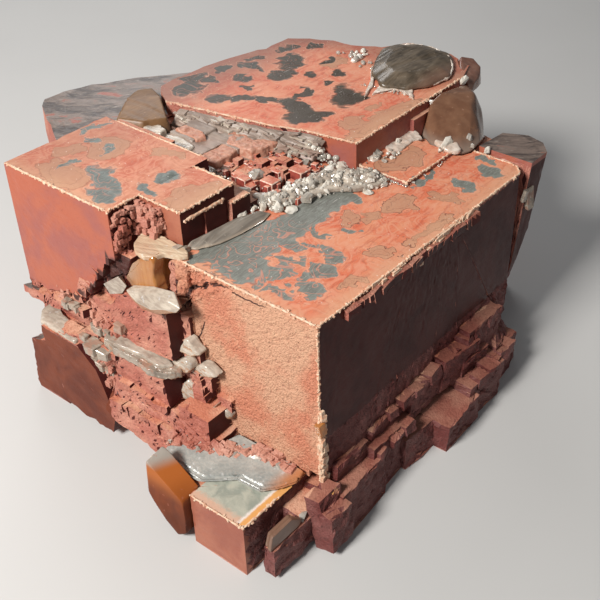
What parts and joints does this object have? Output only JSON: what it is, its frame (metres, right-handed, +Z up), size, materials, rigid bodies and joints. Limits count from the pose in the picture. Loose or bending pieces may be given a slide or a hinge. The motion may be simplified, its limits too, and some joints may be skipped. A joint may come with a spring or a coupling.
{
  "type": "calcite specimen",
  "caption": "Intergrown blunt rhombohedral blocks of red calcite with amber, smoky and clear crystals, pale plates and a silvery crust, cut flat underneath to rest on a table.",
  "frame": {"origin": "on the plane it rests on, under the middle of its bounding box", "axes": "+Z up, square to the flat top faces; the blunt front corner of the largest block points to -Y"},
  "size_m": [0.1568, 0.1634, 0.0694],
  "materials": {
    "red_calcite": "salmon red calcite, satin on the crystal faces and granular where broken",
    "amber_calcite": "translucent honey-coloured calcite",
    "smoky_calcite": "translucent brown calcite",
    "clear_calcite": "clear grey calcite with fine growth lines",
    "pale_calcite": "pale striated calcite with a silky lustre",
    "silvery_calcite": "bright glassy calcite druse"
  },
  "bodies": {
    "root": {"red_calcite": "red_calcite", "amber_crystal": "amber_calcite", "foot_amber_crystal": "amber_calcite", "olive_crystal": "amber_calcite", "small_shell": "amber_calcite", "smoky_crystal": "smoky_calcite", "brown_tip_crystal": "smoky_calcite", "clear_plate": "clear_calcite", "grey_blade": "clear_calcite", "foot_blade": "clear_calcite", "grey_crust": "clear_calcite", "striated_plate": "pale_calcite", "foot_ledge": "pale_calcite", "shell_ledge": "pale_calcite", "stepped_ledge": "pale_calcite", "druse": "silvery_calcite"}
  },
  "joints": []
}
